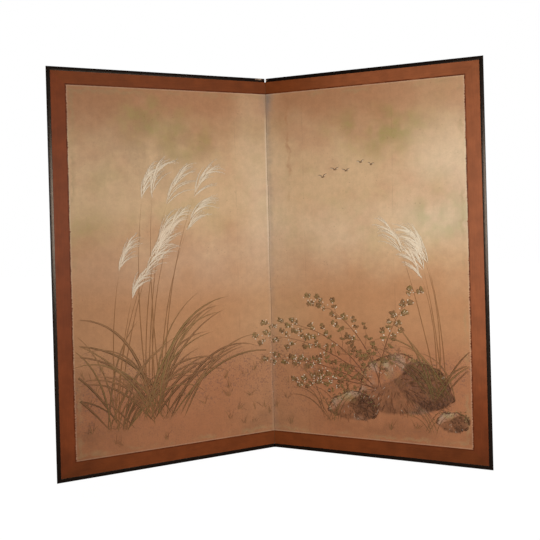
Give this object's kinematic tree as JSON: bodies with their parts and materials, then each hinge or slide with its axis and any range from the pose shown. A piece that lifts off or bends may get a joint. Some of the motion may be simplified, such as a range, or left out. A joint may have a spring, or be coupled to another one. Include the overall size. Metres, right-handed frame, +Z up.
{
  "type": "folding screen",
  "caption": "Standing byobu folding screen: lacquer-framed lattice panels with silk borders and painted sheets, joined by a paper hinge that folds both ways.",
  "frame": {"origin": "on the floor, in the middle of the bounding box in plan; the front fold line is straight behind it", "axes": "+X from the left panel to the right panel, +Y from the painted side to the back, +Z up"},
  "size_m": [1.7934, 0.3324, 1.7],
  "materials": {
    "lacquer": "black urushi lacquer, gloss",
    "cedar": "bare sawn cedar",
    "bamboo": "split bamboo",
    "underpaper": "pasted mulberry paper",
    "border_silk": "plain russet silk",
    "painting_silk": "painted silk, aged",
    "back_paper": "printed paper, dull",
    "hinge_paper": "layered mulberry paper"
  },
  "bodies": {
    "left_panel": {"left_core_stile_fold": "cedar", "left_core_stile_outer": "cedar", "left_core_rail_bottom": "cedar", "left_core_rail_top": "cedar", "left_laths_upright": "cedar", "left_laths_level": "cedar", "left_corner_boards": "cedar", "left_underpaper_front": "underpaper", "left_underpaper_back": "underpaper", "left_edge_paper": "underpaper", "left_painting": "painting_silk", "left_border_top": "border_silk", "left_border_bottom": "border_silk", "left_border_outer": "border_silk", "left_back_sheet": "back_paper", "left_frame_rail_top": "lacquer", "left_frame_rail_bottom": "lacquer", "left_frame_stile": "lacquer", "left_frame_keys": "cedar", "left_frame_pins": "bamboo", "left_hinge_flaps_front": "hinge_paper", "left_hinge_flaps_back": "hinge_paper"},
    "right_panel": {"right_core_stile_fold": "cedar", "right_core_stile_outer": "cedar", "right_core_rail_bottom": "cedar", "right_core_rail_top": "cedar", "right_laths_upright": "cedar", "right_laths_level": "cedar", "right_corner_boards": "cedar", "right_underpaper_front": "underpaper", "right_underpaper_back": "underpaper", "right_edge_paper": "underpaper", "right_painting": "painting_silk", "right_border_top": "border_silk", "right_border_bottom": "border_silk", "right_border_outer": "border_silk", "right_back_sheet": "back_paper", "right_frame_rail_top": "lacquer", "right_frame_rail_bottom": "lacquer", "right_frame_stile": "lacquer", "right_frame_keys": "cedar", "right_frame_pins": "bamboo", "right_hinge_flaps_front": "hinge_paper", "right_hinge_flaps_back": "hinge_paper"},
    "webs_even": {"hinge_webs_even": "hinge_paper"},
    "webs_odd": {"hinge_webs_odd": "hinge_paper"}
  },
  "joints": [
    {"name": "front_fold", "type": "hinge", "parent": "webs_even", "child": "left_panel", "pos_m": [0, 0.14814, 0], "axis": [0, 0, 1], "range_deg": [-39, 141]},
    {"name": "back_fold", "type": "hinge", "parent": "webs_even", "child": "right_panel", "pos_m": [0.00678, 0.16727, 0], "axis": [0, 0, 1], "range_deg": [0, 180]},
    {"name": "odd_strips", "type": "hinge", "parent": "right_panel", "child": "webs_odd", "pos_m": [0, 0.14814, 0], "axis": [0, 0, 1], "range_deg": [-39, 141]}
  ],
  "couplings": [
    {"joint": "odd_strips", "follows": "front_fold", "ratio": 1}
  ]
}
